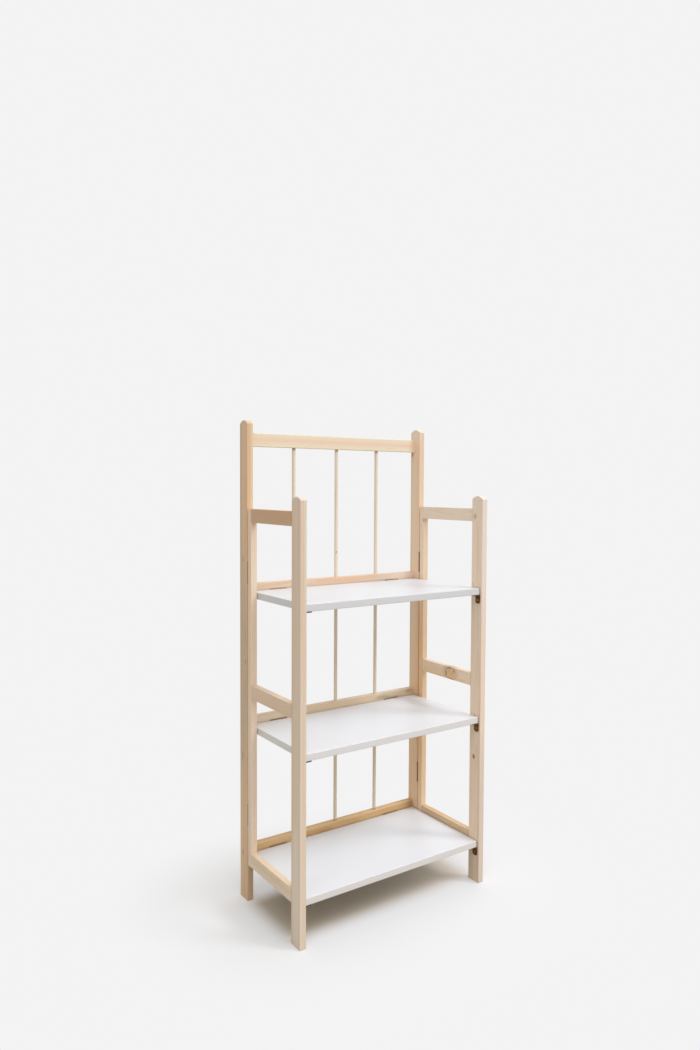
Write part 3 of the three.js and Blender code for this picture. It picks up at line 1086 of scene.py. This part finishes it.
def pin_pattern(name, length):
    neck = length / 2 + knuckle_play
    end = neck + pin_head_thickness
    half = [(pin_radius, neck), (pin_head_radius, neck), (pin_head_radius * 0.8, end - 0.2 * mm), (0, end)]
    return turned(name, [(radius, -height) for radius, height in reversed(half)] + half, 20)


sides = {"fixed_leaf": 1, "moving_leaf": -1}
patterns = {}
for kind, sizes in kinds.items():
    for part, side in sides.items():
        patterns[kind, part] = leaf_pattern(f"{kind}_{part}", side, sizes)
    patterns[kind, "pin"] = pin_pattern(kind + "_pin", sizes["length"])
print("faces:", {" ".join(key): len(mesh.polygons) for key, mesh in patterns.items()})

# %% Hang the hinges
# How far a fitting is turned on either hand. It is drawn for the right.
hands = {"left": math.pi, "right": 0}
screw_places = {}
random.seed(4)


def hang(hinge, kind, turn):
    """Puts a hinge's leaves and pin where their solids are, and notes where its screws go."""
    low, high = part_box(hinge + "_pin")
    place = Matrix.Translation((low + high) / 2) @ Matrix.Rotation(turn, 4, "Y")
    for part in (*sides, "pin"):
        node = f"{hinge}_{part}"
        mesh = patterns[kind, part].copy()
        mesh.transform(place)
        stand_for(node, node + "_steel", mesh, bronze)
    for part, side in sides.items():
        spots = screw_places.setdefault((body_of(f"{hinge}_{part}"), kind), [])
        face = side * (barrel_radius - leaf_thickness)
        for reach, z in screw_spots(**kinds[kind]):
            spot = Matrix.Translation((reach, face, z)) @ Matrix.Rotation(side * quarter_turn, 4, "X")
            twist = Matrix.Rotation(random.uniform(0, quarter_turn), 4, "Z")
            spots.append(place @ spot @ twist)


for hand, turn in hands.items():
    for height in ("lower", "upper"):
        hang(f"side_hinge_{hand}_{height}", "side", turn)
    for level in ("lower", "middle", "upper"):
        hang(f"shelf_hinge_{level}_{hand}", "shelf", quarter_turn)

# %% Drive the hinges' screws
for (body, kind), spots in screw_places.items():
    name = f"screws_{kind}_hinges_{body}"
    add_piece(name, copies(hinge_screw, name, spots), bronze, body)
    print(name, len(spots))

# %% [markdown]
# ## Shelf brackets
#
# A bracket is a strip of steel with round ends, bent to a right angle. It starts as the upright leg, whose top face is
# spun through a quarter turn to make the bend and then drawn out to make the seat. The outer corners are rounded as the
# press cuts them, and a small easing catches the light all round.

# %% A bracket
bracket_thickness = 2 * mm
bracket_bend = 2.6 * mm
bracket_corner = 6 * mm
bracket_rim_easing = 0.25 * mm
bracket_hole_radii = (1.25 * mm, 4.25 * mm)
bracket_screw_drop = 15 * mm


def bracket_pattern(width, height, reach):
    low = Vector((-bracket_thickness, -width / 2, -height))
    high = Vector((0, width / 2, -bracket_bend))
    bm = stretched_cube(low, high)
    top = max(bm.faces, key=lambda f: f.calc_center_median().z)
    centre = Vector((-bracket_bend, 0, -bracket_bend))
    bend = curl(bm, top, centre, -axes["y"], quarter_turn, 8)
    draw_out(bm, bend, axes["x"] * (bracket_bend - reach))
    corners = [e for e in running(bm, "x") if max(v.co.z for v in e.verts) < mm - height]
    corners += [e for e in running(bm, "z") if max(v.co.x for v in e.verts) < mm - reach]
    ease(bm, corners, bracket_corner, 8)
    bmesh.ops.recalc_face_normals(bm, faces=bm.faces)
    rims = [e for e in bm.edges if e.calc_face_angle() > math.radians(60)]
    ease(bm, rims, bracket_rim_easing, 2)
    plate = mesh_of(bm, "bracket")

    hole = bmesh.new()
    middle = Vector((-bracket_thickness / 2, 0, -bracket_screw_drop))
    place = Matrix.Translation(middle) @ Matrix.Rotation(-quarter_turn, 4, "Y")
    add_countersink(hole, bracket_hole_radii, bracket_thickness, 28, place)
    return reshaped(cut(plate, mesh_of(hole, "bracket_hole")), "bracket")


low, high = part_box("shelf_bracket_right_upper")
bracket = bracket_pattern(high.y - low.y, high.z - low.z, high.x - low.x)
print("bracket faces:", len(bracket.polygons))

# %% Screw the brackets on
for hand, turn in hands.items():
    spots = []
    for level in ("lower", "middle", "upper"):
        node = f"shelf_bracket_{hand}_{level}"
        low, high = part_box(node)
        corner = Vector((high.x if turn == 0 else low.x, (low.y + high.y) / 2, high.z))
        place = Matrix.Translation(corner) @ Matrix.Rotation(turn, 4, "Z")
        mesh = bracket.copy()
        mesh.transform(place)
        stand_for(node, node + "_plate", mesh, coat)
        spot = Matrix.Translation((-bracket_thickness, 0, -bracket_screw_drop))
        twist = Matrix.Rotation(random.uniform(0, quarter_turn), 4, "Z")
        spots.append(place @ spot @ Matrix.Rotation(-quarter_turn, 4, "Y") @ twist)
    name = f"screws_brackets_{hand}"
    add_piece(name, copies(bracket_screw, name, spots), bronze, f"side_frame_{hand}")
    print(name, len(spots))

# %% [markdown]
# ## The studio
#
# The bookcase stands on a white floor that runs into a white background. Near the bookcase the floor is a real surface
# that takes the shadow, and under the lower shelf its tone is painted darker and warmer as a painted shadow. Far away
# it turns into the plain tone of the background, so that no horizon shows.
#
# The photograph's shelves are all about equally bright, and the shadow on the floor is soft and short. One lamp can't
# do that, because the upper shelf would leave the middle one dark. So a key lamp on the right is small enough to draw
# the shadows that are seen, three broad lamps in front and to either side soften them, and a slightly warm room fills
# the rest.

# %% The floor
paper = linear(243, 243, 243)
floor_reach = 30
# The lower shelf covers a patch of the floor, which reaches this far to either side, and to the front and back.
patch_width, patch_depth = 262 * mm, 78 * mm


def floor_finish():
    finish = Finish("studio_floor")
    x, y = finish.split(finish.place())[:2]
    beside = (abs(x) - patch_width).at_least(0)
    before = (abs(y) - patch_depth).at_least(0)
    away = (beside * beside + before * before) ** 0.5
    outside = finish.fade(away, 0.0, 0.07)
    # Under the shelf the floor's tone is a painted shadow: warm and darker, and darker still towards the left, away
    # from the key lamp.
    painted_shadow_under_shelf = finish.mix(finish.fade(x, -0.25, 0.28), linear(200, 189, 171), linear(233, 223, 209))
    open_tone = finish.mix(outside, painted_shadow_under_shelf, linear(236, 236, 236))
    # A dark room lies beyond the paper, so the floor throws less light back up than its own tone would.
    bounce = finish.mix(outside, linear(122, 108, 88), linear(178, 174, 168))
    diffuse = finish.node("ShaderNodeLightPath").output("Is Diffuse Ray")
    tone = finish.mix(diffuse, open_tone, bounce)
    finish.surface(Base_Color=tone, Roughness=0.9, Specular_IOR_Level=0.0)
    glow = finish.node("ShaderNodeEmission", None, {"Color": paper, "Strength": 1.0})
    share = outside * (0.28 + 0.72 * finish.fade(away, 0.05, 0.48)) * finish.looked_at()
    finish.show("Material Output", share, finish.shader, glow)
    return finish.material


bm = bmesh.new()
bmesh.ops.create_grid(bm, x_segments=1, y_segments=1, size=floor_reach)
floor = put_in_scene("studio_floor", mesh_of(bm, "studio_floor"))
floor.data.materials.append(floor_finish())
floor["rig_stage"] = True
print("floor in metres:", *floor.dimensions[:2])

# %% The room
# The room gives an even, slightly warm light. What the camera sees of it, or finds in a reflection, is the plain paper.
room_tint, room_strength = (1.0, 0.965, 0.915, 1.0), 0.555

world = bpy.data.worlds.new("studio")
bpy.context.scene.world = world
room = Nodes(world)
even = room.tree.nodes["Background"]
room.feed(even.inputs["Color"], room_tint)
room.feed(even.inputs["Strength"], room_strength)
backdrop = room.node("ShaderNodeBackground", None, {"Color": paper})
room.show("World Output", room.looked_at(), even, backdrop)
print("nodes in the room:", len(room.tree.nodes))

# %% The lamps
lamp_tint = (0.975, 1.0, 1.07)
# How far round from the front, how high, how broad, and how much light falls on a surface that faces the lamp
lamps = {
    "key_on_the_right": (45, 46, 15, 0.24),
    "lamp_in_front": (15, 52, 40, 0.25),
    "lamp_on_the_right": (110, 40, 70, 0.175),
    "lamp_on_the_left": (-45, 50, 40, 0.155),
}
for name, (round_right, height, breadth, light) in lamps.items():
    lamp = put_in_scene(name, bpy.data.lights.new(name, "SUN"))
    lamp.data.energy = light * math.pi
    lamp.data.angle = math.radians(breadth)
    lamp.data.color = lamp_tint
    lamp.rotation_euler = (math.radians(90 - height), 0, math.radians(round_right))
    print(name, "strength", round(lamp.data.energy, 3))

# %% [markdown]
# ## The camera
#
# The photograph was taken from the front left, just under the top of the back frame and almost level. The position,
# the lens and the small shift were found by fitting the bookcase's corners to the photograph.

# %% Set up the camera
camera_place = Vector((-1.2379, -1.74733, 1.11374))
heading, tilt, lean = (math.radians(angle) for angle in (-34.476, -2.463, 0.276))

camera = put_in_scene("camera", bpy.data.cameras.new("camera"))
bpy.context.scene.camera = camera
camera.data.sensor_fit = "VERTICAL"
camera.data.sensor_height = 36
camera.data.lens = 26.976
camera.data.shift_x = -0.0041
camera.data.shift_y = -0.0041
camera.data.clip_end = 100

forward = Vector((-math.sin(heading) * math.cos(tilt), math.cos(heading) * math.cos(tilt), math.sin(tilt)))
level_right = Vector((math.cos(heading), math.sin(heading), 0))
level_up = level_right.cross(forward)
right = level_right * math.cos(lean) + level_up * math.sin(lean)
up = right.cross(forward)
view = Matrix((right, up, -forward)).transposed().to_4x4()
camera.matrix_world = Matrix.Translation(camera_place) @ view
print("from the camera to the bookcase's middle:", round((camera_place - sum(cad_box, Vector()) / 2).length, 3), "m")

bpy.context.scene.view_settings.view_transform = "Standard"

# %% [markdown]
# ## The size
#
# The dressed bookcase must fill the same box as its solids. Both boxes are printed, so that a change that makes it grow
# is seen at once.

# %% Print the sizes
seen_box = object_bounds()
sizes = {
    "cad": [list(corner) for corner in cad_box],
    "visual": [list(corner) for corner in seen_box],
}
print("size:", sizes)
